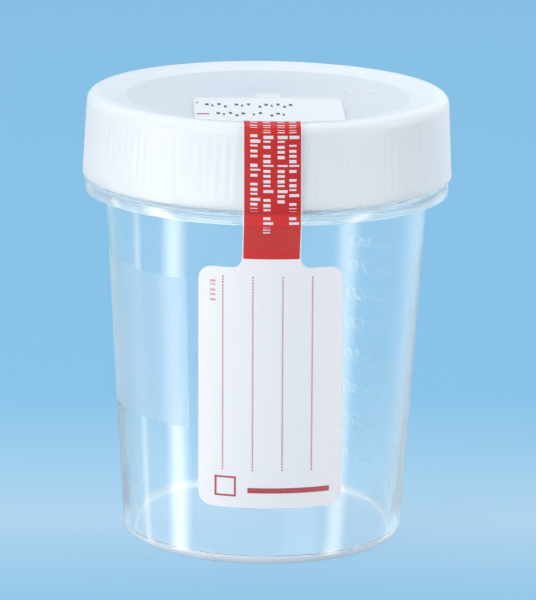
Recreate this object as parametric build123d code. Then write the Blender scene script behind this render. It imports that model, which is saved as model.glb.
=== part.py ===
from build123d import *
import os
from math import cos, pi, sin

# Specimen container: a tapered clear cup, a ribbed screw cap and a paper seal label.
# Millimetres. The origin is the centre of the cup's underside, +Z runs up the axis
# to the cap, and the label faces -Y. Bearings are degrees round the axis from -Y
# towards +X.

# Overall
overall_height = 76.0
cap_height = 13.8
cap_flange_gap = 1.0
seal_clearance = 0.3

# Cup
foot_diameter = 47.2
neck_step = 0.45
cup_wall = 1.3
cup_floor = 1.3
foot_corner = 2.5
inner_corner = 1.2
neck_wall = 1.2
neck_lead_in = 0.4
flange_inset = 0.45
flange_height = 1.9
flange_wall = 1.0

# Graduation, moulded on the outside of the cup
grad_step_volume = 10000.0
grad_count = 8
grad_bearing = 119.3
grad_tick_angle = 9.5
grad_line = 0.45
grad_relief = 0.25
grad_root = 0.3

# Screw cap
cap_diameter = 62.0
cap_draft = 0.65
cap_edge_radius = 1.7
cap_edge_margin = 0.05
cap_skirt_wall = 1.8
cap_rim_width = 2.2
dish_slope_width = 4.3
dish_depth = 0.8
cap_top_thickness = 1.3
lip_wall = 0.7
lip_depth = 2.0
lip_clearance = 0.3
gate_diameter = 4.4
gate_relief = 0.25

# Thread, a ridge round the neck and one in the cap between its turns
thread_room = 1.7
thread_pitch = 4.0
thread_turns = 1.5
thread_start = 3.0
thread_width = 1.6
thread_crest_width = 0.6
thread_clearance = 0.2
neck_thread_height = 0.75
thread_root = 0.3

# Grip ribs round the cap's skirt
rib_count = 120
rib_depth = 0.2
rib_lower_band = 1.8
rib_upper_band = 0.8
rib_root = 0.05

# Raised triangle on the cap's top, a plain moulding mark
mark_bearing = 104.0
mark_distance = 16.0
mark_size = 3.6
mark_line = 0.5
mark_relief = 0.12

# Seal label, one sheet of paper that parts at the gap under the cap
paper = 0.15
glue_line = 0.03
tear_gap = 0.05
panel_width = 23.7
panel_bottom = 10.3
panel_drop = 7.8
panel_corner = 2.3
strip_width = 9.2
strip_fillet = 1.6
landing_drop = 5.3
tab_width = 24.6
tab_inset = 2.55
tab_back = 3.0
tab_corner = 1.5

# Print on the label
ink = 0.03
ink_gap = 0.01
red_margin = 0.6
rule_count = 4
rule_pitch = 4.95
rule_width = 0.3
rule_shift = -0.55
rule_foot_margin = 6.7
rule_head_margin = 1.8

RESTING = (Align.CENTER, Align.CENTER, Align.MIN)

# Heights and radii that follow from the sizes above
cap_radius = cap_diameter / 2
cap_top_radius = cap_radius - cap_draft
cap_bore = cap_radius - cap_skirt_wall
cap_bottom = overall_height - cap_height
cap_shoulder = overall_height - cap_edge_radius - cap_edge_margin
dish_rim = cap_top_radius - cap_rim_width
dish_foot = dish_rim - dish_slope_width
dish_height = overall_height - dish_depth
cap_ceiling = dish_height - cap_top_thickness

foot_radius = foot_diameter / 2
neck_radius = cap_bore - thread_room
neck_bore = neck_radius - neck_wall
neck_top = cap_ceiling - seal_clearance
shoulder_radius = neck_radius - neck_step
flange_radius = cap_radius - flange_inset
flange_top = cap_bottom - cap_flange_gap
flange_bottom = flange_top - flange_height
wall_slope = (shoulder_radius - foot_radius) / flange_bottom

tear_height = (cap_bottom + flange_top) / 2
tear_radius = (cap_radius + flange_radius) / 2
lower_tear = tear_height - tear_gap / 2
upper_tear = tear_height + tear_gap / 2
strip_landing = flange_bottom - landing_drop
panel_top = flange_bottom - panel_drop
rule_bottom = panel_bottom + rule_foot_margin
rule_top = panel_top - rule_head_margin
tab_front = dish_rim - tab_inset
reach = 2 * overall_height


def wall_radius(height):
    """Radius of the cup's outer wall at a height."""
    return foot_radius + wall_slope * height


def bore_radius(height):
    """Radius of the cup's inner wall at a height."""
    return wall_radius(height) - cup_wall


def section(points, rounded=()):
    """Face through (radius, height) points, with (point, radius) corners rounded."""
    face = make_face(Polyline(*points, close=True))
    for corner, radius in rounded:
        vertex = face.vertices().sort_by_distance(corner)[0]
        face = fillet(vertex, radius)
    return face


def turned(face, angle=360):
    """Solid that a (radius, height) face sweeps about the axis, starting at +X."""
    return revolve(Plane.XZ * face, Axis.Z, angle)


def at_bearing(bearing):
    """Rotation that takes the +X side to a bearing, counted from -Y towards +X."""
    return Rot(0, 0, bearing - 90)


def thread(wall, crest, bottom):
    """Helical ridge that rises from a wall's radius to its crest's."""
    inset = thread_root if crest > wall else -thread_root
    half_root = thread_width / 2
    half_crest = thread_crest_width / 2
    points = [
        (wall - inset, -half_root),
        (wall, -half_root),
        (crest, -half_crest),
        (crest, half_crest),
        (wall, half_root),
        (wall - inset, half_root),
    ]
    path = Helix(thread_pitch, thread_pitch * thread_turns, wall)
    ridge = sweep(Plane.XZ * section(points), path=path, is_frenet=True)
    return at_bearing(0) * Pos(0, 0, bottom) * ridge


# Cup


def cup_shell():
    """Floor, tapered wall and neck in one wall thickness."""
    foot = (foot_radius, 0)
    floor_edge = (bore_radius(cup_floor), cup_floor)
    flange_web = flange_top - flange_wall
    points = [
        (0, 0),
        foot,
        (wall_radius(flange_web), flange_web),
        (neck_radius, flange_top),
        (neck_radius, neck_top),
        (neck_bore, neck_top),
        (neck_bore, flange_top),
        (bore_radius(flange_web), flange_web),
        floor_edge,
        (0, cup_floor),
    ]
    lip = [((neck_radius, neck_top), neck_lead_in), ((neck_bore, neck_top), neck_lead_in)]
    rounded = [(foot, foot_corner), (floor_edge, inner_corner)] + lip
    return turned(section(points, rounded))


def flange():
    """Ring under the cap: a flat web with a lip turned down at its edge."""
    web_bottom = flange_top - flange_wall
    lip_inside = flange_radius - flange_wall
    web_inside = wall_radius(web_bottom) - cup_wall / 2
    points = [
        (web_inside, flange_top),
        (flange_radius, flange_top),
        (flange_radius, flange_bottom),
        (lip_inside, flange_bottom),
        (lip_inside, web_bottom),
        (web_inside, web_bottom),
    ]
    edge = flange_wall / 4
    rounded = [((flange_radius, flange_top), edge), ((flange_radius, flange_bottom), edge)]
    return turned(section(points, rounded))


def fill_height(volume):
    """Height at which the tapered bore holds a volume."""
    start = bore_radius(cup_floor)
    cube = start**3 + 3 * wall_slope * volume / pi
    return cup_floor + (cube ** (1 / 3) - start) / wall_slope


def graduation_tick(height):
    """Raised line on the outer wall, on the arc of the graduation."""
    inside = wall_radius(height) - grad_root
    outside = wall_radius(height) + grad_relief
    low = height - grad_line / 2
    high = height + grad_line / 2
    line = section([(inside, low), (outside, low), (outside, high), (inside, high)])
    return at_bearing(grad_bearing) * turned(line, grad_tick_angle)


def cup():
    """The cup, moulded in one piece with its flange and graduation."""
    body = cup_shell() + flange()
    body += thread(neck_radius, neck_radius + neck_thread_height, flange_top + thread_start)
    for step in range(1, grad_count + 1):
        body += graduation_tick(fill_height(step * grad_step_volume))
    return body


# Screw cap


def skirt_radius(height):
    """Radius over the ribs at a height on the drafted skirt."""
    share = (height - cap_bottom) / (cap_shoulder - cap_bottom)
    return cap_radius - cap_draft * share


def cap_outline(skirt_bottom, skirt_bottom_radius):
    """Half outline of the cap as a filled face, its skirt run down to a given end."""
    points = [
        (0, skirt_bottom),
        (skirt_bottom_radius, skirt_bottom),
        (cap_radius, cap_bottom),
        (cap_top_radius, cap_shoulder),
        (cap_top_radius, overall_height),
        (dish_rim, overall_height),
        (dish_foot, dish_height),
        (0, dish_height),
    ]
    return section(points, [((cap_top_radius, overall_height), cap_edge_radius)])


def cap_shell():
    """Top plate, skirt and sealing lip, with the skirt still plain."""
    ribbed_bottom = cap_bottom + rib_lower_band
    ribbed_top = cap_shoulder - rib_upper_band
    core = rib_depth + rib_root
    lip_outside = neck_bore - lip_clearance
    lip_inside = lip_outside - lip_wall
    points = [
        (0, cap_ceiling),
        (lip_inside, cap_ceiling),
        (lip_inside, cap_ceiling - lip_depth),
        (lip_outside, cap_ceiling - lip_depth),
        (lip_outside, cap_ceiling),
        (cap_bore, cap_ceiling),
        (cap_bore, cap_bottom),
        (cap_radius, cap_bottom),
        (skirt_radius(ribbed_bottom), ribbed_bottom),
        (skirt_radius(ribbed_bottom) - core, ribbed_bottom),
        (skirt_radius(ribbed_top) - core, ribbed_top),
        (skirt_radius(ribbed_top), ribbed_top),
        (cap_top_radius, cap_shoulder),
        (cap_top_radius, overall_height),
        (dish_rim, overall_height),
        (dish_foot, dish_height),
        (0, dish_height),
    ]
    return turned(section(points, [((cap_top_radius, overall_height), cap_edge_radius)]))


def rib_section(height):
    """Outline round the ribs at a height: crests and grooves in turn."""
    crest = skirt_radius(height)
    points = []
    for step in range(2 * rib_count):
        angle = step * pi / rib_count
        radius = crest if step % 2 == 0 else crest - rib_depth
        points.append((radius * cos(angle), radius * sin(angle)))
    return Plane.XY.offset(height) * make_face(Polyline(*points, close=True))


def grip_ribs():
    """Ring of ribs between the plain bands at the skirt's ends."""
    bottom = cap_bottom + rib_lower_band
    top = cap_shoulder - rib_upper_band
    ribs = loft([rib_section(bottom), rib_section(top)], ruled=True)
    core = (cap_bore + skirt_radius(top) - rib_depth) / 2
    return ribs - Pos(0, 0, bottom) * Cylinder(core, top - bottom, align=RESTING)


def moulding_mark():
    """Plain triangle raised on the cap's top."""
    outer = RegularPolygon(mark_size, 3)
    inner = RegularPolygon(mark_size - 2 * mark_line, 3)
    spot = at_bearing(mark_bearing) * Pos(mark_distance, 0, dish_height - mark_relief)
    return extrude(spot * (outer - inner), 2 * mark_relief)


def screw_cap():
    """The cap, moulded in one piece with its ribs and sealing lip."""
    gate = Cylinder(gate_diameter / 2, 2 * gate_relief)
    crest = neck_radius + neck_thread_height + thread_clearance
    ridge = thread(cap_bore, crest, flange_top + thread_start + thread_pitch / 2)
    body = cap_shell() + grip_ribs() + ridge
    return body + Pos(0, 0, dish_height) * gate + moulding_mark()


# Seal label


def layer(outline, start, thickness):
    """Layer laid over a filled half outline, all the way round it."""
    outer = offset(outline, amount=start + thickness, kind=Kind.INTERSECTION)
    inner = offset(outline, amount=start, kind=Kind.INTERSECTION)
    quadrant = Pos(reach / 2, 0) * Rectangle(reach, 2 * reach)
    return turned((outer - inner) & quadrant)


def paper_layer(outline):
    """The label's paper on a half outline."""
    return layer(outline, glue_line, paper)


def print_layer(outline):
    """Ink on the outside of the label's paper."""
    return layer(outline, glue_line + paper + ink_gap, ink)


def front_area(low, high, width=strip_width, centre=0):
    """Upright rectangle in front of the axis, carried out past the label."""
    face = Pos(centre, (low + high) / 2) * Rectangle(width, high - low)
    return extrude(Plane.XZ * face, reach)


def in_front_of(distance):
    """Space above the cap's ceiling and further to the front than a distance."""
    face = Pos(0, -distance - reach / 2) * Rectangle(reach, reach)
    below = front_area(0, cap_ceiling, reach)
    return Pos(0, 0, cap_ceiling) * extrude(face, cap_height) + below


def cup_outline():
    """Half outline under the lower label: the wall, the free strip and the flange."""
    return section(
        [
            (0, 0),
            (foot_radius, 0),
            (wall_radius(strip_landing), strip_landing),
            (flange_radius, flange_bottom),
            (flange_radius, flange_top),
            (tear_radius, tear_height),
            (0, tear_height),
        ]
    )


def seal_label_lower():
    """Writing panel on the cup and the strip up to the tear line."""
    half_panel = panel_width / 2
    half_strip = strip_width / 2
    points = [
        (-half_panel, panel_bottom),
        (half_panel, panel_bottom),
        (half_panel, panel_top),
        (half_strip, panel_top),
        (half_strip, lower_tear),
        (-half_strip, lower_tear),
        (-half_strip, panel_top),
        (-half_panel, panel_top),
    ]
    corners = [(point, panel_corner) for point in points[:3] + points[7:]]
    fillets = [(points[3], strip_fillet), (points[6], strip_fillet)]
    area = extrude(Plane.XZ * section(points, corners + fillets), reach)
    return paper_layer(cup_outline()) & area


def seal_print_lower():
    """Red field on the strip between the panel and the tear line."""
    return print_layer(cup_outline()) & front_area(panel_top + strip_fillet, lower_tear)


def writing_lines():
    """Upright rules printed on the writing panel."""
    ink_layer = print_layer(cup_outline())
    first = rule_shift - rule_pitch * (rule_count - 1) / 2
    rules = []
    for step in range(rule_count):
        place = first + step * rule_pitch
        area = front_area(rule_bottom, rule_top, rule_width, place)
        rules.append((ink_layer & area).solid())
    return Compound(children=rules)


def seal_label_upper():
    """Strip up the cap from the tear line and the tab that lies on its top."""
    strip = front_area(upper_tear, reach) & in_front_of(tab_front)
    length = tab_front - tab_back
    face = Pos(0, -tab_back - length / 2) * RectangleRounded(tab_width, length, tab_corner)
    tab = Pos(0, 0, cap_ceiling) * extrude(face, cap_height)
    return paper_layer(cap_outline(tear_height, tear_radius)) & (strip + tab)


def seal_print_upper():
    """Red field on the strip from the tear line to the edge of the dish."""
    strip = front_area(upper_tear, reach) & in_front_of(dish_rim - red_margin)
    return print_layer(cap_outline(tear_height, tear_radius)) & strip


def write(node, shape):
    """One STEP file per piece."""
    shape.label = node
    export_step(shape, f"parts/{node}.step")


os.makedirs("parts", exist_ok=True)
write("cup", cup())
write("screw_cap", screw_cap())
write("seal_label_lower", seal_label_lower())
write("seal_label_upper", seal_label_upper())
write("seal_print_lower", seal_print_lower())
write("seal_print_upper", seal_print_upper())
write("writing_lines", writing_lines())
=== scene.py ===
from math import atan2, ceil, cos, degrees, dist, hypot, pi, radians, sin, sqrt, tan

import bpy
from mathutils import Matrix, Vector
from mathutils.geometry import delaunay_2d_cdt


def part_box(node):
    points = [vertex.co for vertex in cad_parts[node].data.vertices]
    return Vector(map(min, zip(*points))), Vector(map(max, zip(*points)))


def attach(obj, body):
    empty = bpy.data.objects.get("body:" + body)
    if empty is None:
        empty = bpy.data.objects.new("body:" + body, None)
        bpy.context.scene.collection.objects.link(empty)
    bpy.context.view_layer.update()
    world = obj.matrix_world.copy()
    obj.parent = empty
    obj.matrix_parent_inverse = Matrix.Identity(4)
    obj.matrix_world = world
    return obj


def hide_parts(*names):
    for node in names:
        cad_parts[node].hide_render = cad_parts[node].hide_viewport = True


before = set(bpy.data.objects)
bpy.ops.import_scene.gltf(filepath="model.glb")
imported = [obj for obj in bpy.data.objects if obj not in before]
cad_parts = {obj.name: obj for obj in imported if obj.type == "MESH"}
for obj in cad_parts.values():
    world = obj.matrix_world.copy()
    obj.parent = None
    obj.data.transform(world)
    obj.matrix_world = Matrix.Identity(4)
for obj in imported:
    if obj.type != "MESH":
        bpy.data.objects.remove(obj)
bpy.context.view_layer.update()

# Specimen container. Lengths are in millimetres and become metres where a mesh, a
# light or the camera is made. Bearings are degrees round the axis from -Y to +X.
MM = 0.001


def box_of(node):
    """Lowest and highest corner of a CAD node, in millimetres."""
    low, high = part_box(node)
    return low / MM, high / MM


# Sizes that the frame gives. The skirt reaches a little lower than the solid's.
cup_box = box_of("cup")
cap_box = box_of("screw_cap")
skirt_drop = 0.2
overall_height = round(cap_box[1].z, 2)
cap_bottom = round(cap_box[0].z, 2) - skirt_drop
neck_top = round(cup_box[1].z, 2)
cap_radius = round(cap_box[1].x, 1)
flange_radius = round(cup_box[1].x, 2)

# Cup
foot_radius = 23.6
shoulder_radius = 27.05
cup_wall = 1.3
cup_floor = 1.3
foot_corner = 2.5
inner_corner = 1.2
neck_radius = 27.5
neck_wall = 1.2
neck_lead_in = 0.4
flange_gap = 1.0 - skirt_drop
flange_height = 1.9
flange_wall = 1.0
flange_edge = 0.3
web_fillet = 0.35
flange_inner_edge = 0.1
bore_fillet = 0.6
flange_top = cap_bottom - flange_gap
flange_bottom = flange_top - flange_height
flange_web = flange_top - flange_wall
wall_slope = (shoulder_radius - foot_radius) / flange_bottom
neck_bore = neck_radius - neck_wall

# Screw cap
cap_draft = 0.65
cap_edge_radius = 1.7
cap_bore = 29.2
cap_rim_width = 2.2
dish_slope_width = 4.3
dish_depth = 0.8
cap_top_thickness = 1.3
lip_wall = 0.7
lip_depth = 2.0
lip_clearance = 0.3
gate_radius = 2.2
gate_relief = 0.18
gate_edge = 0.1
lip_root_fillet = 0.3
lip_edge = 0.25
bore_edge = 0.4
skirt_inner_edge = 0.2
skirt_outer_edge = 0.3
cap_edge_margin = 0.05
dish_rim_fillet = 0.3
dish_foot_fillet = 1.5
cap_top_radius = cap_radius - cap_draft
cap_shoulder = overall_height - cap_edge_radius
dish_rim = cap_top_radius - cap_rim_width
dish_foot = dish_rim - dish_slope_width
dish_height = overall_height - dish_depth
cap_ceiling = dish_height - cap_top_thickness

# Grip ribs
rib_count = 120
rib_depth = 0.11
rib_lower_band = 1.8
rib_upper_band = 0.8
rib_lower_fade = 0.3
rib_upper_fade = 1.2
rib_bottom = cap_bottom + rib_lower_band
rib_top = cap_shoulder - rib_upper_band

# Thread, a ridge round the neck and one in the cap between its turns
thread_pitch = 4.0
thread_turns = 1.5
thread_height = 0.75
thread_root = 0.8
thread_crest = 0.3
thread_bottom = flange_top + 3.0
thread_run_out = 12.0

# Seal label
paper = 0.15
glue_line = 0.03
tear_gap = 0.01
panel_width = 23.7
panel_bottom = 10.3
panel_drop = 7.8
panel_corner = 2.3
strip_width = 9.6
label_lean = 0.0125
lean_height = 47.0
strip_fillet = 1.6
landing_drop = 5.3
landing_radius = 4.0
lower_fold_radius = 0.8
fold_radius = 0.6
tab_width = 24.6
tab_inset = 2.55
tab_back = 3.0
tab_corner = 1.5
tab_root_fillet = 0.4
panel_top = flange_bottom - panel_drop
strip_landing = flange_bottom - landing_drop
tab_front = dish_rim - tab_inset
tear_height = (cap_bottom + flange_top) / 2
tear_radius = (cap_radius + flange_radius) / 2
lower_tear = tear_height - tear_gap / 2
upper_tear = tear_height + tear_gap / 2

# Camera
camera_bearing = -2.2
camera_distance = 773.6
camera_height = 218.5
camera_pitch = 12.987
camera_roll = 0.883
camera_yaw = 0.037
lens = 315.2
sensor_width = 36.0


def wall_radius(height):
    """Radius of the cup's outer wall at a height."""
    return foot_radius + wall_slope * height


def bore_radius(height):
    """Radius of the cup's inner wall at a height."""
    return wall_radius(height) - cup_wall


def skirt_radius(height):
    """Radius over the ribs at a height on the drafted skirt."""
    share = (height - cap_bottom) / (cap_shoulder - cap_bottom)
    return cap_radius - cap_draft * share


# Meshes


def rounded(points, steps=6, closed=False):
    """Outline through (x, y) and (x, y, corner radius) points, with arcs at the corners."""
    outline = []
    count = len(points)
    for index, point in enumerate(points):
        corner = Vector(point[:2])
        radius = point[2] if len(point) > 2 else 0
        if not radius or (not closed and index in (0, count - 1)):
            outline.append(tuple(corner))
            continue
        before = (Vector(points[index - 1][:2]) - corner).normalized()
        after = (Vector(points[(index + 1) % count][:2]) - corner).normalized()
        half = before.angle(after) / 2
        centre = corner + (before + after).normalized() * radius / sin(half)
        start = corner + before * radius / tan(half)
        end = corner + after * radius / tan(half)
        spread = (start - centre).angle_signed(end - centre)
        for step in range(steps + 1):
            arm = start - centre
            arm.rotate(Matrix.Rotation(-spread * step / steps, 2))
            outline.append(tuple(centre + arm))
    return outline


def near(value, other):
    """Whether two lengths are the same but for rounding."""
    return abs(value - other) < 0.01


def spaced(outline, longest, radius):
    """The same outline with its upright runs at a radius cut into steps."""
    result = [outline[0]]
    for start, end in zip(outline, outline[1:]):
        run = dist(start, end)
        upright = near(start[0], radius) and near(end[0], radius)
        cuts = max(1, ceil(run / longest)) if upright else 1
        for cut in range(1, cuts + 1):
            share = cut / cuts
            result.append(tuple(a + (b - a) * share for a, b in zip(start, end)))
    return result


def at_bearing(radius, bearing, height):
    """Point at a radius, a bearing in degrees and a height."""
    angle = radians(bearing)
    return radius * sin(angle), -radius * cos(angle), height


def turned(outline, sides, radius_at=None, left_out=None):
    """Points and faces that a (radius, height) outline sweeps about the axis."""
    points, faces, rings = [], [], []
    for radius, height in outline:
        if radius < 1e-6:
            rings.append([len(points)] * sides)
            points.append((0, 0, height))
            continue
        rings.append(list(range(len(points), len(points) + sides)))
        for side in range(sides):
            bearing = 360 * side / sides
            here = radius_at(radius, height, bearing) if radius_at else radius
            points.append(at_bearing(here, bearing, height))
    for row, (low, high) in enumerate(zip(rings, rings[1:])):
        for side in range(sides):
            if left_out and left_out(outline[row], outline[row + 1], 360 * side / sides):
                continue
            after = (side + 1) % sides
            corners = (low[side], low[after], high[after], high[side])
            faces.append(tuple(dict.fromkeys(corners)))
    return points, faces


def joined(parts):
    """Points and faces of several parts in one list."""
    points, faces = [], []
    for more_points, more_faces in parts:
        faces += [tuple(i + len(points) for i in face) for face in more_faces]
        points += more_points
    return points, faces


def welded(points, faces):
    """The same surface with points that share a place made one."""
    places, new = {}, []
    for point in points:
        key = tuple(round(value, 3) for value in point)
        new.append(places.setdefault(key, len(places)))
    kept = [None] * len(places)
    for index, point in zip(new, points):
        kept[index] = kept[index] or point
    cleaned = []
    for face in faces:
        corners = tuple(dict.fromkeys(new[i] for i in face))
        if len(corners) > 2:
            cleaned.append(corners)
    return kept, cleaned


def mesh_object(name, points, faces, materials, body, slot, smooth=True, sharp=50):
    """Object that rides on a body, from millimetres, sharp over an angle in degrees."""
    mesh = bpy.data.meshes.new(name)
    mesh.from_pydata([Vector(p) * MM for p in points], [], faces)
    mesh.validate()
    for material in materials:
        mesh.materials.append(material)
    mesh.polygons.foreach_set("use_smooth", [smooth] * len(mesh.polygons))
    mesh.set_sharp_from_angle(angle=radians(sharp))
    obj = bpy.data.objects.new(name, mesh)
    bpy.context.scene.collection.objects.link(obj)
    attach(obj, body)
    return obj


# Materials


def new_material(name):
    """New material, with its nodes, its links and its one shader."""
    material = bpy.data.materials.new(name)
    material.use_nodes = True
    nodes = material.node_tree.nodes
    shader = nodes["Principled BSDF"]
    return material, nodes, material.node_tree.links, shader


def set_inputs(node, **values):
    """Values of a node's sockets, by name with _ for a space."""
    for name, value in values.items():
        node.inputs[name.replace("_", " ")].default_value = value


def object_noise(nodes, links, scale, detail):
    """Noise in the object's own coordinates."""
    noise = nodes.new("ShaderNodeTexNoise")
    place = nodes.new("ShaderNodeTexCoord")
    set_inputs(noise, Scale=scale, Detail=detail)
    links.new(place.outputs["Object"], noise.inputs["Vector"])
    return noise


def add_relief(nodes, links, shader, noise, strength, distance):
    """Fine relief of a surface, which follows a noise."""
    relief = nodes.new("ShaderNodeBump")
    set_inputs(relief, Strength=strength, Distance=distance)
    links.new(noise.outputs["Fac"], relief.inputs["Height"])
    links.new(relief.outputs["Normal"], shader.inputs["Normal"])


def add_mottle(nodes, links, shader, noise, first, second):
    """Colour that wanders between two, as a noise does."""
    ramp = nodes.new("ShaderNodeValToRGB")
    ramp.color_ramp.elements[0].color = (*first, 1.0)
    ramp.color_ramp.elements[1].color = (*second, 1.0)
    links.new(noise.outputs["Fac"], ramp.inputs["Fac"])
    links.new(ramp.outputs["Color"], shader.inputs["Base Color"])


def let_shadow_rays_through(nodes, links, shader, colour):
    """Shader that stays as it is, but that shadow rays pass, taking on a colour."""
    path = nodes.new("ShaderNodeLightPath")
    through = nodes.new("ShaderNodeBsdfTransparent")
    set_inputs(through, Color=colour)
    mix = nodes.new("ShaderNodeMixShader")
    links.new(path.outputs["Is Shadow Ray"], mix.inputs["Fac"])
    links.new(shader.outputs["BSDF"], mix.inputs[1])
    links.new(through.outputs["BSDF"], mix.inputs[2])
    links.new(mix.outputs["Shader"], nodes["Material Output"].inputs["Surface"])


CLEAR_TINT = (0.98, 0.995, 1.0, 1.0)
NO_TINT = (1.0, 1.0, 1.0, 1.0)
SHEEN_TINT = (0.62, 0.87, 1.0, 1.0)
EVEN = (1.0, 1.0, 1.0)


def clear_plastic(name, roughness, cloud, sheen, depth=0.0, bump=0.0, tint=CLEAR_TINT):
    """Clear moulded plastic, cloudy where it is thick, that shadow rays pass through."""
    material, nodes, links, shader = new_material(name)
    set_inputs(shader, Base_Color=tint, Roughness=roughness, IOR=1.49)
    set_inputs(shader, Transmission_Weight=1 - cloud, Subsurface_Weight=depth)
    set_inputs(shader, Subsurface_Radius=EVEN, Subsurface_Scale=0.003)
    set_inputs(shader, Sheen_Weight=sheen, Sheen_Roughness=0.5, Sheen_Tint=SHEEN_TINT)
    if bump:
        noise = object_noise(nodes, links, scale=900.0, detail=3.0)
        add_relief(nodes, links, shader, noise, strength=bump, distance=0.0001)
    let_shadow_rays_through(nodes, links, shader, (0.93, 0.96, 0.98, 1.0))
    return material


def milky_plastic(name, colour):
    """White translucent polyethylene with a fine moulded grain."""
    material, nodes, links, shader = new_material(name)
    set_inputs(
        shader,
        Base_Color=colour,
        Roughness=0.42,
        IOR=1.5,
        Transmission_Weight=0.12,
        Subsurface_Weight=0.8,
        Subsurface_Radius=EVEN,
        Subsurface_Scale=0.0025,
    )
    noise = object_noise(nodes, links, scale=1400.0, detail=4.0)
    add_relief(nodes, links, shader, noise, strength=0.15, distance=0.0001)
    let_shadow_rays_through(nodes, links, shader, (0.85, 0.85, 0.85, 1.0))
    return material


def paper_material():
    """Coated white paper with faint fibre mottling."""
    material, nodes, links, shader = new_material("label_paper")
    set_inputs(shader, Roughness=0.5, IOR=1.45, Subsurface_Weight=0.2)
    set_inputs(shader, Subsurface_Radius=EVEN, Subsurface_Scale=0.0004)
    noise = object_noise(nodes, links, scale=2500.0, detail=5.0)
    add_mottle(nodes, links, shader, noise, (0.96, 0.945, 0.96), (0.985, 0.975, 0.985))
    add_relief(nodes, links, shader, noise, strength=0.12, distance=0.00005)
    return material


def ink_material(name, colour, pale):
    """Printing ink with a slightly uneven cover."""
    material, nodes, links, shader = new_material(name)
    set_inputs(shader, Roughness=0.42, IOR=1.45)
    noise = object_noise(nodes, links, scale=1800.0, detail=4.0)
    add_mottle(nodes, links, shader, noise, colour, pale)
    return material


CLEAR = clear_plastic("clear_plastic", roughness=0.05, cloud=0.03, sheen=0.35)
THICK = clear_plastic("thick_plastic", roughness=0.12, cloud=0.30, sheen=0.3, tint=NO_TINT)
FLANGE = clear_plastic("flange_plastic", roughness=0.08, cloud=0.18, sheen=0.2)
HEEL = clear_plastic(
    "heel_plastic", roughness=0.25, cloud=0.85, sheen=0.3, depth=1.0, tint=NO_TINT
)
FROSTED = clear_plastic("frosted_plastic", roughness=0.3, cloud=0.03, sheen=0.3, bump=0.3)
MILKY = milky_plastic("milky_plastic", (0.88, 0.90, 0.925, 1.0))
# Darker copy of the milky plastic for the dished top: painted shade.
SHADED_MILKY = milky_plastic("shaded_milky_plastic", (0.79, 0.79, 0.82, 1.0))
PAPER = paper_material()
RED = ink_material("red_ink", (0.585, 0.010, 0.009), (0.65, 0.021, 0.019))
# Lighter copy of the red ink for the strip below the tear: painted light that shines through the
# paper.
LIT_RED = ink_material("lit_red_ink", (0.70, 0.020, 0.018), (0.79, 0.036, 0.032))
DARK_RED = ink_material("rule_ink", (0.45, 0.05, 0.07), (0.60, 0.12, 0.14))
PINK_INK = ink_material("pink_ink", (0.75, 0.35, 0.38), (0.82, 0.45, 0.48))
PALE_INK = ink_material("pale_ink", (0.80, 0.76, 0.78), (0.88, 0.84, 0.86))
BLACK_INK = ink_material("black_ink", (0.02, 0.02, 0.025), (0.05, 0.05, 0.06))

# Cup

cup_sides = 240
neck_step = 0.25
thread_margin = 0.5
outer_skin = 0.3
heel_height = 1.7
heel_radius = 21.5
neck_foot = 0.6
matte_bottom = 23.3
matte_top = 48.7
matte_start = 360 - 121.5
matte_end = 360 - 31.5


def thread_lift(height, bearing, offset=0.0):
    """Height of the thread's ridge at a place on the neck."""
    lift = 0.0
    for turn in range(-1, 3):
        run = bearing + 360 * turn
        if not 0 <= run <= 360 * thread_turns:
            continue
        centre = thread_bottom + offset + thread_pitch * run / 360
        slope = (thread_root - abs(height - centre)) / (thread_root - thread_crest)
        ends = min(run, 360 * thread_turns - run) / thread_run_out
        lift = max(lift, thread_height * min(1, max(0, slope)) * min(1, ends))
    return lift


def cup_radius_at(radius, height, bearing):
    """Radius of the cup's surface, with the thread raised on the neck."""
    if near(radius, neck_radius) and height >= flange_top + thread_margin:
        return radius + thread_lift(height, bearing)
    return radius


# Graduation on the back wall, in a patch of the cup's surface
grad_step_volume = 10000.0
grad_count = 8
tick_start = 119.3
tick_end = 128.8
tick_line = 0.45
digits_start = 132.3
digits_end = 143.1
digits_height = 2.3
grad_relief = 0.25
patch_start = 117.0
patch_end = 145.5
patch_bottom = 5.0
patch_scale = radians(1) * wall_radius(25)


def fill_height(volume):
    """Height at which the tapered bore holds a volume."""
    start = bore_radius(cup_floor)
    cube = start**3 + 3 * wall_slope * volume / pi
    return cup_floor + (cube ** (1 / 3) - start) / wall_slope


def glyph_edges(text):
    """Outline segments of a short number, as pairs of points in a unit square."""
    curve = bpy.data.curves.new("number", "FONT")
    curve.body = text
    curve.resolution_u = 3
    obj = bpy.data.objects.new("number", curve)
    mesh = bpy.data.meshes.new_from_object(obj)
    uses = {}
    for face in mesh.polygons:
        for key in face.edge_keys:
            uses[key] = uses.get(key, 0) + 1
    points = [v.co.xy.copy() for v in mesh.vertices]
    xs = [p.x for p in points]
    ys = [p.y for p in points]
    size = (max(xs) - min(xs), max(ys) - min(ys))
    fitted = [((p.x - min(xs)) / size[0], (p.y - min(ys)) / size[1]) for p in points]
    edges = [(fitted[a], fitted[b]) for (a, b), count in sorted(uses.items()) if count == 1]
    bpy.data.objects.remove(obj)
    bpy.data.curves.remove(curve)
    bpy.data.meshes.remove(mesh)
    return edges


def graduation_edges():
    """Outlines of all the raised lines and numbers, as (bearing, height) segments."""
    segments = []
    for step in range(1, grad_count + 1):
        height = fill_height(step * grad_step_volume)
        low = height - tick_line / 2
        high = height + tick_line / 2
        corners = [(tick_start, low), (tick_end, low), (tick_end, high), (tick_start, high)]
        segments += list(zip(corners, corners[1:] + corners[:1]))
        bottom = height - digits_height / 2
        width = digits_end - digits_start
        for pair in glyph_edges(str(10 * step)):
            placed = [(digits_start + u * width, bottom + v * digits_height) for u, v in pair]
            segments.append(tuple(placed))
    return segments


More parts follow.
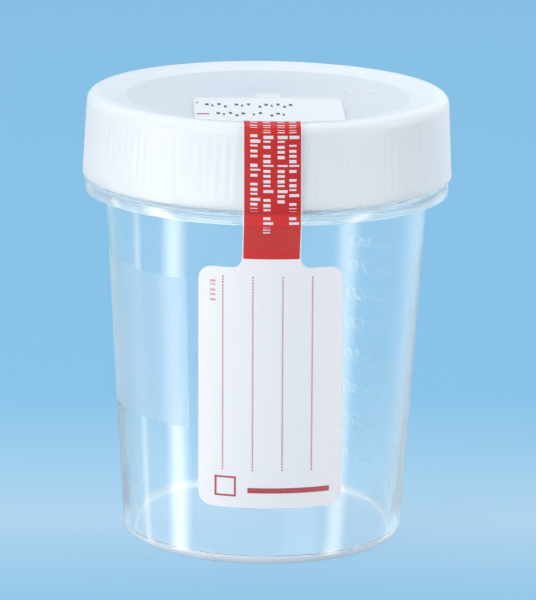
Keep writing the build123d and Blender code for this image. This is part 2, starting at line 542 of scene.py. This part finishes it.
def odd_crossings(segments, x, y):
    """Whether a point lies inside the outlines that segments form."""
    found = False
    for (ax, ay), (bx, by) in segments:
        if (ay > y) != (by > y) and x < ax + (bx - ax) * (y - ay) / (by - ay):
            found = not found
    return found


def graduation_patch():
    """Points and faces of the wall's patch, with the graduation raised from it."""
    columns = round((patch_end - patch_start) * cup_sides / 360)
    bearings = [patch_start + 360 / cup_sides * i for i in range(columns + 1)]
    rows = [patch_bottom, matte_bottom, matte_top]
    points, edges = [], []

    def add(a, b):
        for bearing, height in (a, b):
            points.append(Vector((bearing * patch_scale, height)))
        edges.append((len(points) - 2, len(points) - 1))

    for bearing in bearings:
        for low, high in zip(rows, rows[1:]):
            add((bearing, low), (bearing, high))
    for height in rows:
        for left, right in zip(bearings, bearings[1:]):
            add((left, height), (right, height))
    raised = graduation_edges()
    for a, b in raised:
        add(a, b)
    flat, _, triangles, *_ = delaunay_2d_cdt(points, edges, [], 0, 1e-4)
    flat = [(p.x / patch_scale, p.y) for p in flat]
    steps = {}
    for a, b in raised:
        for row in range(int(min(a[1], b[1])), int(max(a[1], b[1])) + 1):
            steps.setdefault(row, []).append((a, b))
    up, down = [], []
    for triangle in triangles:
        bearing = sum(flat[i][0] for i in triangle) / 3
        height = sum(flat[i][1] for i in triangle) / 3
        is_up = odd_crossings(steps.get(int(height), []), bearing, height)
        (up if is_up else down).append(tuple(triangle))
    used = sorted({i for face in down for i in face})
    base = {old: i for i, old in enumerate(used)}
    solid = [at_bearing(wall_radius(flat[i][1]), *flat[i]) for i in used]
    faces = [tuple(base[i] for i in face) for face in down]
    used = sorted({i for face in up for i in face})
    top = {old: i + len(solid) for i, old in enumerate(used)}
    solid += [at_bearing(wall_radius(flat[i][1]) + grad_relief, *flat[i]) for i in used]
    faces += [tuple(top[i] for i in face) for face in up]
    sides = {(a, b) for face in up for a, b in zip(face, face[1:] + face[:1])}
    for a, b in sorted(sides):
        if (b, a) not in sides:
            faces.append((top[a], base[a], base[b], top[b]))
    return solid, faces


def in_patch(start, end, bearing):
    """Whether a face of the turned wall lies where the patch goes."""
    middle = (start[1] + end[1]) / 2
    radius = (start[0] + end[0]) / 2
    outside = radius > wall_radius(middle) - outer_skin
    across = patch_start - 0.1 < bearing < patch_end - 0.1
    return outside and across and patch_bottom < middle < matte_top


def cup_material(x, y, z):
    """Material of the cup at a place on it."""
    radius = hypot(x, y)
    bearing = degrees(atan2(x, -y)) % 360
    at_neck = neck_radius - 0.1 < radius < neck_radius + web_fillet
    if z < heel_height and radius > heel_radius:
        return HEEL
    if at_neck and flange_top - 0.01 < z < flange_top + neck_foot:
        return HEEL
    if z < cup_floor + 0.1:
        return THICK
    if radius > wall_radius(z) + 0.2 and z < flange_top - 0.05:
        return FLANGE
    outside = radius > wall_radius(z) - outer_skin
    if outside and matte_bottom < z < matte_top and matte_start < bearing < matte_end:
        return FROSTED
    return CLEAR


def build_cup():
    """The cup in one surface, with its write-on field left matte."""
    profile = [
        (0, 0),
        (foot_radius, 0, foot_corner),
        (wall_radius(patch_bottom), patch_bottom),
        (wall_radius(matte_bottom), matte_bottom),
        (wall_radius(matte_top), matte_top),
        (wall_radius(flange_web), flange_web, web_fillet),
        (flange_radius - flange_wall, flange_web, web_fillet),
        (flange_radius - flange_wall, flange_bottom, flange_inner_edge),
        (flange_radius, flange_bottom, flange_edge),
        (flange_radius, flange_top, flange_edge),
        (neck_radius, flange_top, web_fillet),
        (neck_radius, neck_top, neck_lead_in),
        (neck_bore, neck_top, neck_lead_in),
        (neck_bore, flange_top, bore_fillet),
        (bore_radius(flange_web), flange_web, bore_fillet),
        (bore_radius(cup_floor), cup_floor, inner_corner),
        (0, cup_floor),
    ]
    outline = spaced(rounded(profile), neck_step, neck_radius)
    shell = turned(outline, cup_sides, cup_radius_at, in_patch)
    points, faces = welded(*joined([shell, graduation_patch()]))
    materials = [CLEAR, FROSTED, THICK, FLANGE, HEEL]
    obj = mesh_object("cup_body", points, faces, materials, "container", "clear_plastic", sharp=40)
    for face in obj.data.polygons:
        face.material_index = materials.index(cup_material(*(face.center / MM)))
    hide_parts("cup")


build_cup()

# Screw cap

cap_sides = 960
bore_step = 0.4
mark_bearing = 104.0
mark_distance = 16.0
mark_size = 3.6
mark_line = 0.5
mark_relief = 0.12


def cap_radius_at(radius, height, bearing):
    """Radius of the cap's surface, with ribs on the skirt and the thread in its bore."""
    if radius > cap_bore + 0.5 and rib_bottom < height < rib_top:
        wave = 0.5 - 0.5 * cos(radians(bearing) * rib_count)
        low_fade = (height - rib_bottom) / rib_lower_fade
        high_fade = (rib_top - height) / rib_upper_fade
        return radius - rib_depth * wave * min(1, low_fade, high_fade)
    if near(radius, cap_bore) and height < cap_ceiling - thread_margin:
        return radius - thread_lift(height, bearing, thread_pitch / 2)
    return radius


def build_cap():
    """The cap in one surface, with its ribs, thread, lip and dished top."""
    lip_outside = neck_bore - lip_clearance
    lip_inside = lip_outside - lip_wall
    rib_heights = [rib_bottom, rib_bottom + rib_lower_fade, rib_top - rib_upper_fade, rib_top]
    profile = [
        (0, cap_ceiling),
        (lip_inside, cap_ceiling, lip_root_fillet),
        (lip_inside, cap_ceiling - lip_depth, lip_edge),
        (lip_outside, cap_ceiling - lip_depth, lip_edge),
        (lip_outside, cap_ceiling, lip_root_fillet),
        (cap_bore, cap_ceiling, bore_edge),
        (cap_bore, cap_bottom, skirt_inner_edge),
        (cap_radius, cap_bottom, skirt_outer_edge),
        *[(skirt_radius(height), height) for height in rib_heights],
        (cap_top_radius, cap_shoulder - cap_edge_margin),
        (cap_top_radius, overall_height, cap_edge_radius),
        (dish_rim, overall_height, dish_rim_fillet),
        (dish_foot, dish_height, dish_foot_fillet),
        (gate_radius, dish_height, gate_edge),
        (gate_radius, dish_height + gate_relief, gate_edge),
        (0, dish_height + gate_relief),
    ]
    outline = spaced(rounded(profile, steps=4), bore_step, cap_bore)
    points, faces = turned(outline, cap_sides, cap_radius_at)
    materials = [MILKY, SHADED_MILKY]
    obj = mesh_object("cap_body", points, faces, materials, "closure", "white_plastic")
    for face in obj.data.polygons:
        centre = face.center / MM
        # The flat of the dished top, round the gate, takes the darker copy as painted shade.
        if gate_radius < centre.xy.length < dish_foot and centre.z > dish_height - 0.1:
            face.material_index = materials.index(SHADED_MILKY)
    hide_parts("screw_cap")


def build_mark():
    """Small raised outline of a triangle on the dished top."""
    spin = radians(mark_bearing)
    points, faces = [], []
    for size in (mark_size, mark_size - 2 * mark_line):
        for height in (dish_height - mark_relief, dish_height + mark_relief):
            for turn in (0, 120, 240):
                out = mark_distance + size * cos(radians(turn))
                across = size * sin(radians(turn))
                x = out * sin(spin) + across * cos(spin)
                y = across * sin(spin) - out * cos(spin)
                points.append((x, y, height))
    for i in range(3):
        j = (i + 1) % 3
        faces.append((i, j, j + 3, i + 3))
        faces.append((i + 3, j + 3, j + 9, i + 9))
        faces.append((j + 6, i + 6, i + 9, j + 9))
        faces.append((j, i, i + 6, j + 6))
    mesh_object("cap_mark", points, faces, [MILKY], "closure", "white_plastic", smooth=False)


build_cap()
build_mark()

# Seal label

label_step = 0.8
panel_rows = [20.0, 30.0, 40.0]
ink_gap = 0.01
ink = 0.02
ink_low = glue_line + paper + ink_gap
ink_high = ink_low + ink
ink_stack = 0.01


def grid_lines(low, high, step):
    """Evenly spaced values between two limits, both left out."""
    cuts = max(1, ceil((high - low) / step))
    return [low + (high - low) * cut / cuts for cut in range(1, cuts)]


def filled(outline, columns, rows):
    """Flat points and triangles that fill an outline, cut at columns and rows."""
    points = [Vector(p) for p in outline]
    edges = [(i, (i + 1) % len(outline)) for i in range(len(outline))]
    xs = [p[0] for p in outline]
    ys = [p[1] for p in outline]
    for x in columns:
        points += [Vector((x, min(ys))), Vector((x, max(ys)))]
        edges.append((len(points) - 2, len(points) - 1))
    for y in rows:
        points += [Vector((min(xs), y)), Vector((max(xs), y))]
        edges.append((len(points) - 2, len(points) - 1))
    flat, _, triangles, *_ = delaunay_2d_cdt(points, edges, [], 0, 1e-5)
    segments = list(zip(outline, outline[1:] + outline[:1]))
    kept = []
    for triangle in triangles:
        centre = sum((flat[i] for i in triangle), Vector((0, 0))) / len(triangle)
        if odd_crossings(segments, *centre):
            kept.append(tuple(triangle))
    return [tuple(p) for p in flat], kept


def slab(flat, faces, place, low, high):
    """Thin solid between two lifts off the surface, over flat points and faces."""
    used = sorted({i for face in faces for i in face})
    new = {old: i for i, old in enumerate(used)}
    faces = [tuple(new[i] for i in face) for face in faces]
    count = len(used)
    points = [place(*flat[i], high) for i in used] + [place(*flat[i], low) for i in used]
    sides = {(a, b) for face in faces for a, b in zip(face, face[1:] + face[:1])}
    rim = [(a, b) for a, b in sorted(sides) if (b, a) not in sides]
    solid = list(faces)
    solid += [tuple(i + count for i in reversed(face)) for face in faces]
    solid += [(a, a + count, b + count, b) for a, b in rim]
    return points, solid


def block(place, x, v, width, height, above=0.0):
    """Thin plate of ink over a rectangle of the label, from its lower left corner."""
    columns = max(1, ceil(width / label_step))
    rows = max(1, ceil(height / label_step))
    across = [x + width * i / columns for i in range(columns + 1)]
    up = [v + height * j / rows for j in range(rows + 1)]
    flat = [(u, w) for w in up for u in across]
    faces = []
    for j in range(rows):
        for i in range(columns):
            a = j * (columns + 1) + i
            faces.append((a, a + 1, a + columns + 2, a + columns + 1))
    return slab(flat, faces, place, ink_low + above, ink_high + above)


def path_point(path, distance, lift):
    """Radius and height at a distance along a path, lifted off it."""
    normals = []
    for start, end in zip(path, path[1:]):
        run = dist(start, end)
        normals.append(((end[1] - start[1]) / run, -(end[0] - start[0]) / run))
    walked = 0.0
    for index, (start, end) in enumerate(zip(path, path[1:])):
        run = dist(start, end)
        if distance <= walked + run + 1e-9 or index == len(path) - 2:
            share = (distance - walked) / run
            lifted = []
            for point, other in ((start, index - 1), (end, index + 1)):
                nearby = normals[min(max(other, 0), len(normals) - 1)]
                here = normals[index]
                blend = Vector((here[0] + nearby[0], here[1] + nearby[1])).normalized()
                reach = lift / max(0.5, blend.dot(here))
                lifted.append((point[0] + blend.x * reach, point[1] + blend.y * reach))
            return tuple(a + (b - a) * share for a, b in zip(*lifted))
        walked += run


def path_marks(path):
    """Distances of a path's corners from its start."""
    marks = [0.0]
    for start, end in zip(path, path[1:]):
        marks.append(marks[-1] + dist(start, end))
    return marks


def distance_at(path, height):
    """Distance along a rising path to a height."""
    for mark, start, end in zip(path_marks(path), path, path[1:]):
        if start[1] <= height <= end[1]:
            share = (height - start[1]) / (end[1] - start[1])
            return mark + share * dist(start, end)


# Paths that the label follows, in front of the axis
lower_path = rounded(
    [
        (wall_radius(0), 0),
        (wall_radius(strip_landing), strip_landing, landing_radius),
        (flange_radius, flange_bottom, lower_fold_radius),
        (flange_radius, flange_top, fold_radius),
        (tear_radius, tear_height),
    ],
    steps=5,
)
upper_path = rounded(
    [
        (tear_radius, tear_height),
        (cap_radius, cap_bottom, fold_radius),
        (cap_top_radius, cap_shoulder - cap_edge_margin),
        (cap_top_radius, overall_height, cap_edge_radius),
        (dish_rim, overall_height),
        (tab_back, overall_height),
    ],
    steps=8,
)
top_start = path_marks(upper_path)[-3]
tab_start = path_marks(upper_path)[-2] + dish_rim - tab_front
tab_end = path_marks(upper_path)[-1]


def on_cup(x, height, lift):
    """Point of the lower label, by its place across and its height on the wall."""
    radius, z = path_point(lower_path, distance_at(lower_path, height), lift)
    x -= label_lean * (height - lean_height)
    return x, -sqrt(radius**2 - x**2), z


def top_height(radius):
    """Height of the cap's top at a radius."""
    share = (dish_rim - radius) / (dish_rim - dish_foot)
    return overall_height - dish_depth * min(1, max(0, share))


def on_cap(x, distance, lift):
    """Point of the upper label, by its place across and its distance from the tear."""
    radius, z = path_point(upper_path, distance, lift)
    x -= label_lean * (min(tear_height + distance, overall_height) - lean_height)
    if distance <= top_start:
        return x, -sqrt(radius**2 - x**2), z
    share = min(1, (distance - top_start) / (tab_start - top_start))
    y = -(1 - share) * sqrt(max(0, radius**2 - x**2)) - share * radius
    return x, y, top_height(hypot(x, y)) + lift


def build_label_lower():
    """Writing panel on the cup and the strip up to the tear line."""
    half_panel = panel_width / 2
    half_strip = strip_width / 2
    outline = rounded(
        [
            (-half_panel, panel_bottom, panel_corner),
            (half_panel, panel_bottom, panel_corner),
            (half_panel, panel_top, panel_corner),
            (half_strip, panel_top, strip_fillet),
            (half_strip, lower_tear),
            (-half_strip, lower_tear),
            (-half_strip, panel_top, strip_fillet),
            (-half_panel, panel_top, panel_corner),
        ],
        steps=8,
        closed=True,
    )
    rows = [z for _, z in lower_path if panel_bottom < z < lower_tear]
    rows += panel_rows
    flat, faces = filled(outline, grid_lines(-half_panel, half_panel, label_step), rows)
    points, faces = slab(flat, faces, on_cup, glue_line, glue_line + paper)
    obj = mesh_object("label_panel", points, faces, [PAPER], "container", "label_paper")
    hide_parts("seal_label_lower")


def build_label_upper():
    """Strip up the cap from the tear line and the tab that lies on its top."""
    half_strip = strip_width / 2
    half_tab = tab_width / 2
    start = distance_at(upper_path, upper_tear)
    outline = rounded(
        [
            (-half_strip, start),
            (half_strip, start),
            (half_strip, tab_start, tab_root_fillet),
            (half_tab, tab_start, tab_corner),
            (half_tab, tab_end, tab_corner),
            (-half_tab, tab_end, tab_corner),
            (-half_tab, tab_start, tab_corner),
            (-half_strip, tab_start, tab_root_fillet),
        ],
        steps=6,
        closed=True,
    )
    rows = [mark for mark in path_marks(upper_path) if start < mark < tab_end]
    rows += grid_lines(tab_start, tab_end, label_step)
    flat, faces = filled(outline, grid_lines(-half_tab, half_tab, label_step), rows)
    points, faces = slab(flat, faces, on_cap, glue_line, glue_line + paper)
    obj = mesh_object("label_tab", points, faces, [PAPER], "closure", "label_paper")
    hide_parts("seal_label_upper")


red_overrun = 0.6
red_margin = 0.2
red_end = path_marks(upper_path)[-2] + red_overrun


def build_red_fields():
    """Red ink on the strip, below and above the tear line, painted lighter below it as painted
    light through the paper.
    """
    half = strip_width / 2 - red_margin
    low = panel_top + strip_fillet
    outline = [(-half, low), (half, low), (half, lower_tear), (-half, lower_tear)]
    rows = [z for _, z in lower_path if low < z < lower_tear]
    flat, faces = filled(outline, grid_lines(-half, half, label_step), rows)
    points, faces = slab(flat, faces, on_cup, ink_low, ink_high)
    obj = mesh_object("red_field_lower", points, faces, [LIT_RED], "container", "red_print")
    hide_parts("seal_print_lower")
    start = distance_at(upper_path, upper_tear)
    outline = [(-half, start), (half, start), (half, red_end), (-half, red_end)]
    rows = [mark for mark in path_marks(upper_path) if start < mark < red_end]
    flat, faces = filled(outline, grid_lines(-half, half, label_step), rows)
    points, faces = slab(flat, faces, on_cap, ink_low, ink_high)
    obj = mesh_object("red_field_upper", points, faces, [RED], "closure", "red_print")
    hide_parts("seal_print_upper")


rule_offset = -0.55
rule_count = 4
rule_pitch = 4.9
rule_foot_margin = 6.5
rule_head_margin = 1.6
rule_bottom = panel_bottom + rule_foot_margin
rule_top = panel_top - rule_head_margin
dot_pitch = 0.5
dot_size = 0.24


def build_rules():
    """Upright dotted rules on the writing panel."""
    dots = []
    first = rule_offset - rule_pitch * (rule_count - 1) / 2
    for rule in range(rule_count):
        x = first + rule * rule_pitch - dot_size / 2
        for step in range(int((rule_top - rule_bottom) / dot_pitch) + 1):
            dots.append(block(on_cup, x, rule_bottom + step * dot_pitch, dot_size, dot_size))
    points, faces = joined(dots)
    obj = mesh_object(
        "dotted_rules", points, faces, [DARK_RED], "container", "red_print", smooth=False
    )
    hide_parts("writing_lines")


build_label_lower()
build_label_upper()
build_red_fields()
build_rules()

# Lines of plain marks in the place of small print: place across and lengths of words
strip_lines = [
    (2.7, (5, 6, 4, 5)),
    (0.8, (9, 8)),
    (-1.5, (7, 8, 3, 4)),
    (-3.6, (3, 5, 3, 6)),
]
mark_pitch = 0.82
mark_width = 0.42
mark_height = 1.15
mark_tall = 1.6
mark_widths = (1.0, 1.25, 0.7, 1.1)
word_gap = 0.8
tall_every = 5
marks_inset = 0.5
tear_margin = 0.1


def text_marks(words, pitch, width):
    """Places along a line, widths and numbers of the marks that stand for its words."""
    at = 0.0
    count = 0
    for word in words:
        for _ in range(word):
            count += 1
            yield at, width * mark_widths[count % len(mark_widths)], count
            at += pitch
        at += pitch * word_gap


def build_strip_marks():
    """Pale marks along the strip, in the place of its small print."""
    upper, lower = [], []
    tear = distance_at(upper_path, upper_tear)
    for x, words in strip_lines:
        for along, width, count in text_marks(words, mark_pitch, mark_width):
            height = mark_height if count % tall_every else mark_tall
            distance = red_end - marks_inset - along - width
            if distance > tear + tear_margin:
                upper.append(block(on_cap, x, distance, height, width, ink_stack))
            elif distance + width < tear - tear_margin:
                z = upper_tear - (tear - distance)
                lower.append(block(on_cup, x, z, height, width, ink_stack))
    mesh_object("strip_marks_upper", *joined(upper), [PALE_INK], "closure", "label_paper")
    mesh_object("strip_marks_lower", *joined(lower), [PALE_INK], "container", "label_paper")


# The tab's lines of marks: place across and along the cap's top, and lengths of words
tab_lines = [(-10.4, -11.8, (4, 3, 6)), (-8.7, -19.6, (5, 2, 3))]
tab_pitch = 1.02
tab_mark_width = 0.45
tab_mark_height = 1.53
tab_mark_steps = (0.0, 1.7, 0.85, 2.04)
tab_dash_places = [(-12.0, -18.2, 2.1), (-11.9, -8.2, 0.4)]
tab_dash_height = 0.9


def tab_distance(y):
    """Distance along the upper path that lies at a place on the cap's top."""
    return tab_start + y + tab_front


def build_tab_marks():
    """Two lines of small dark marks and a short red dash on the tab."""
    marks = []
    for x, y, words in tab_lines:
        for along, width, count in text_marks(words, tab_pitch, tab_mark_width):
            v = tab_distance(y) + tab_mark_steps[count % len(tab_mark_steps)]
            marks.append(block(on_cap, x + along, v, width, tab_mark_height))
    mesh_object("tab_marks", *joined(marks), [BLACK_INK], "closure", "label_paper")
    dashes = [
        block(on_cap, x, tab_distance(y), length, tab_dash_height)
        for x, y, length in tab_dash_places
    ]
    mesh_object("tab_dashes", *joined(dashes), [DARK_RED], "closure", "red_print")


box_left = -9.2
box_bottom = 12.2
box_size = 3.5
box_line = 0.32
bar_left = -3.8
bar_bottom = 12.9
bar_length = 13.6
bar_height = 0.9
small_left = -10.0
small_top = 49.5
small_pitch = 0.8
small_width = 0.5
small_height = 0.9
small_share = 0.6


def build_panel_marks():
    """Plain tick box and bar at the panel's foot, and a short line of marks at its head."""
    inner = box_size - 2 * box_line
    marks = [
        block(on_cup, box_left, box_bottom, box_size, box_line),
        block(on_cup, box_left, box_bottom + box_size - box_line, box_size, box_line),
        block(on_cup, box_left, box_bottom + box_line, box_line, inner),
        block(on_cup, box_left + box_size - box_line, box_bottom + box_line, box_line, inner),
        block(on_cup, bar_left, bar_bottom, bar_length, bar_height),
    ]
    mesh_object("panel_marks", *joined(marks), [DARK_RED], "container", "red_print")
    small = []
    for along, width, _ in text_marks((5,), small_pitch, small_width):
        v = small_top - along - width
        small.append(block(on_cup, small_left, v, small_height, width * small_share))
    mesh_object("panel_small_marks", *joined(small), [PINK_INK], "container", "red_print")


build_strip_marks()
build_tab_marks()
build_panel_marks()

# Stage: floor, lights and camera

light_target = (0, 0, 45)
card_columns = 8
card_side = 200
card_lift = 0.3
card_height = 58.0
warm_white = (1.0, 0.86, 0.70)
cool_white = (0.82, 0.92, 1.0)


def floor_material():
    """Pale blue floor with a painted band of light across it where the object stands."""
    material = bpy.data.materials.new("studio_floor")
    material.use_nodes = True
    nodes = material.node_tree.nodes
    links = material.node_tree.links
    nodes.remove(nodes["Principled BSDF"])
    place = nodes.new("ShaderNodeTexCoord")
    split = nodes.new("ShaderNodeSeparateXYZ")
    span = nodes.new("ShaderNodeMapRange")
    ramp = nodes.new("ShaderNodeValToRGB")
    set_inputs(span, From_Min=-0.1, From_Max=0.1)
    # Painted light: the floor's blue is lighter in a band across the middle, where the object
    # stands.
    band_of_light_stops = [
        (0.15, (0.258, 0.558, 0.823)),
        (0.29, (0.300, 0.590, 0.815)),
        (0.53, (0.445, 0.665, 0.865)),
        (0.66, (0.376, 0.645, 0.855)),
        (0.80, (0.319, 0.604, 0.840)),
        (0.97, (0.258, 0.558, 0.823)),
    ]
    elements = ramp.color_ramp.elements
    while len(elements) < len(band_of_light_stops):
        elements.new(0.5)
    for element, (position, colour) in zip(elements, band_of_light_stops):
        element.position = position
        element.color = (*colour, 1.0)
    diffuse = nodes.new("ShaderNodeBsdfDiffuse")
    glow = nodes.new("ShaderNodeEmission")
    path = nodes.new("ShaderNodeLightPath")
    seen = nodes.new("ShaderNodeMath")
    seen.operation = "MAXIMUM"
    any_seen = nodes.new("ShaderNodeMath")
    any_seen.operation = "MAXIMUM"
    share = nodes.new("ShaderNodeMath")
    share.operation = "MULTIPLY"
    share.inputs[1].default_value = 0.75
    mix = nodes.new("ShaderNodeMixShader")
    links.new(place.outputs["Object"], split.inputs["Vector"])
    links.new(split.outputs["Y"], span.inputs["Value"])
    links.new(span.outputs["Result"], ramp.inputs["Fac"])
    bounce = nodes.new("ShaderNodeMix")
    bounce.data_type = "RGBA"
    bounce.inputs["B"].default_value = (0.46, 0.51, 0.56, 1.0)
    links.new(path.outputs["Is Diffuse Ray"], bounce.inputs["Factor"])
    links.new(ramp.outputs["Color"], bounce.inputs["A"])
    links.new(bounce.outputs["Result"], diffuse.inputs["Color"])
    links.new(ramp.outputs["Color"], glow.inputs["Color"])
    links.new(path.outputs["Is Camera Ray"], seen.inputs[0])
    links.new(path.outputs["Is Glossy Ray"], seen.inputs[1])
    links.new(seen.outputs["Value"], any_seen.inputs[0])
    links.new(path.outputs["Is Transmission Ray"], any_seen.inputs[1])
    links.new(any_seen.outputs["Value"], share.inputs[0])
    links.new(share.outputs["Value"], mix.inputs["Fac"])
    links.new(diffuse.outputs["BSDF"], mix.inputs[1])
    links.new(glow.outputs["Emission"], mix.inputs[2])
    links.new(mix.outputs["Shader"], nodes["Material Output"].inputs["Surface"])
    return material


def build_floor():
    """Wide plain floor under the object."""
    mesh = bpy.data.meshes.new("floor")
    half = 4.0
    corners = [(-half, -half, 0), (half, -half, 0), (half, half, 0), (-half, half, 0)]
    mesh.from_pydata(corners, [], [(0, 1, 2, 3)])
    mesh.materials.append(floor_material())
    obj = bpy.data.objects.new("floor", mesh)
    bpy.context.scene.collection.objects.link(obj)


def area_light(name, place, width, height, power):
    """Soft box at a place, aimed at the object's middle, in millimetres and watts."""
    data = bpy.data.lights.new(name, "AREA")
    data.shape = "RECTANGLE"
    data.size = width * MM
    data.size_y = height * MM
    data.energy = power
    obj = bpy.data.objects.new(name, data)
    aim = Vector(light_target) - Vector(place)
    turn = aim.to_track_quat("-Z", "Y").to_matrix().to_4x4()
    obj.matrix_world = Matrix.Translation(Vector(place) * MM) @ turn
    obj.visible_camera = False
    bpy.context.scene.collection.objects.link(obj)


def card_material(name, colour, strength):
    """Light of a reflector card, which fades out towards its upright edges."""
    material = bpy.data.materials.new(name)
    material.use_nodes = True
    nodes = material.node_tree.nodes
    links = material.node_tree.links
    nodes.remove(nodes["Principled BSDF"])
    place = nodes.new("ShaderNodeTexCoord")
    split = nodes.new("ShaderNodeSeparateXYZ")
    ramp = nodes.new("ShaderNodeValToRGB")
    ramp.color_ramp.interpolation = "EASE"
    ramp.color_ramp.elements[0].color = (0, 0, 0, 1)
    ramp.color_ramp.elements[1].color = (0, 0, 0, 1)
    middle = ramp.color_ramp.elements.new(0.5)
    middle.color = (1, 1, 1, 1)
    glow = nodes.new("ShaderNodeEmission")
    set_inputs(glow, Color=(*colour, 1), Strength=strength)
    through = nodes.new("ShaderNodeBsdfTransparent")
    mix = nodes.new("ShaderNodeMixShader")
    links.new(place.outputs["UV"], split.inputs["Vector"])
    links.new(split.outputs["X"], ramp.inputs["Fac"])
    links.new(ramp.outputs["Color"], mix.inputs["Fac"])
    links.new(through.outputs["BSDF"], mix.inputs[1])
    links.new(glow.outputs["Emission"], mix.inputs[2])
    links.new(mix.outputs["Shader"], nodes["Material Output"].inputs["Surface"])
    return material


def mirrored(bearing, side):
    """Where the camera's view goes, sent back by the foot of the wall at a bearing."""
    x, y, _ = at_bearing(wall_radius(0) + 0.3, bearing, 0)
    away = radians(2 * bearing - camera_bearing)
    reach = (side - x) / sin(away)
    return (x, y), (side, y - reach * cos(away))


def card_object(name, points, faces, places, colour, strength):
    """Card of the stage that only reflections show."""
    mesh = bpy.data.meshes.new(name)
    mesh.from_pydata([Vector(point) * MM for point in points], [], faces)
    layer = mesh.uv_layers.new(name="across")
    for loop, place in enumerate(places):
        layer.data[loop].uv = place
    mesh.materials.append(card_material(name, colour, strength))
    obj = bpy.data.objects.new(name, mesh)
    obj.visible_camera = False
    obj.visible_diffuse = False
    obj.visible_transmission = False
    obj.visible_shadow = False
    bpy.context.scene.collection.objects.link(obj)


def back_card(name, left, right, low, high, back, strength):
    """Upright card behind the cap, for the light on its dished top."""
    points = [(left, back, low), (right, back, low), (right, back, high), (left, back, high)]
    places = [(0, 0), (1, 0), (1, 1), (0, 1)]
    card_object(name, points, [(0, 1, 2, 3)], places, cool_white, strength)


def reflector_card(name, first, last, side, strength, colour):
    """Card beside the cup that shows in its wall between two bearings."""
    points, faces, places = [], [], []
    for column in range(card_columns + 1):
        share = column / card_columns
        near, far = mirrored(first + (last - first) * share, side)
        points += [(*near, card_lift), (*far, card_lift), (*far, card_height)]
        if column < card_columns:
            i = 3 * column
            faces += [(i, i + 3, i + 4, i + 1), (i + 1, i + 4, i + 5, i + 2)]
            ahead = (column + 1) / card_columns
            places += [(share, 0), (ahead, 0), (ahead, 1), (share, 1)] * 2
    card_object(name, points, faces, places, colour, strength)


def build_world():
    """Even soft light from all round, behind a blue for the camera, gloss and glass."""
    world = bpy.data.worlds.new("studio")
    world.use_nodes = True
    nodes = world.node_tree.nodes
    links = world.node_tree.links
    light = nodes["Background"]
    set_inputs(light, Color=(0.90, 0.95, 1.0, 1.0), Strength=0.5)
    backdrop = nodes.new("ShaderNodeBackground")
    set_inputs(backdrop, Color=(0.258, 0.558, 0.823, 1.0), Strength=1.0)
    path = nodes.new("ShaderNodeLightPath")
    mix = nodes.new("ShaderNodeMixShader")
    links.new(path.outputs["Is Diffuse Ray"], mix.inputs["Fac"])
    links.new(backdrop.outputs["Background"], mix.inputs[1])
    links.new(light.outputs["Background"], mix.inputs[2])
    links.new(mix.outputs["Shader"], nodes["World Output"].inputs["Surface"])
    bpy.context.scene.world = world


def build_camera():
    """Camera at the photograph's viewing angle."""
    pitch = radians(camera_pitch)
    yaw = radians(camera_yaw)
    roll = radians(camera_roll)
    forward = Vector((sin(yaw) * cos(pitch), cos(yaw) * cos(pitch), -sin(pitch)))
    level = Vector((cos(yaw), -sin(yaw), 0))
    right = level * cos(roll) + level.cross(forward) * sin(roll)
    up = right.cross(forward)
    turn = Matrix.Rotation(radians(camera_bearing), 4, "Z")
    axes = Matrix((right, up, -forward)).transposed().to_4x4()
    place = Matrix.Translation(Vector((0, -camera_distance, camera_height)) * MM)
    data = bpy.data.cameras.new("camera")
    data.sensor_fit = "HORIZONTAL"
    data.sensor_width = sensor_width
    data.lens = lens
    data.clip_start = 0.01
    data.clip_end = 20.0
    obj = bpy.data.objects.new("camera", data)
    obj.matrix_world = turn @ place @ axes
    bpy.context.scene.collection.objects.link(obj)
    bpy.context.scene.camera = obj


def build_bounces():
    """Enough bounces for light that runs along inside the clear walls."""
    cycles = bpy.context.scene.cycles
    cycles.max_bounces = 32
    cycles.glossy_bounces = 24
    cycles.transmission_bounces = 32


build_floor()
build_world()
area_light("key", (-480, -620, 260), width=450, height=450, power=3.5)
area_light("fill", (760, -60, 260), width=400, height=500, power=1.5)
area_light("top", (0, 150, 800), width=700, height=500, power=2.3)
reflector_card("card_left", -45, -31, -card_side, 10.0, warm_white)
reflector_card("card_right", 22, 35, card_side, 7.0, warm_white)
reflector_card("card_rear_left", -60, -53, -card_side, 3.0, warm_white)
reflector_card("card_rear_right", 48, 84, card_side, 1.7, cool_white)
reflector_card("card_edge_left", -88, -68, -card_side, 0.8, cool_white)
back_card("card_back", left=-10, right=250, low=85, high=175, back=120, strength=2.2)
build_camera()
build_bounces()
bpy.context.scene.view_settings.view_transform = "Standard"
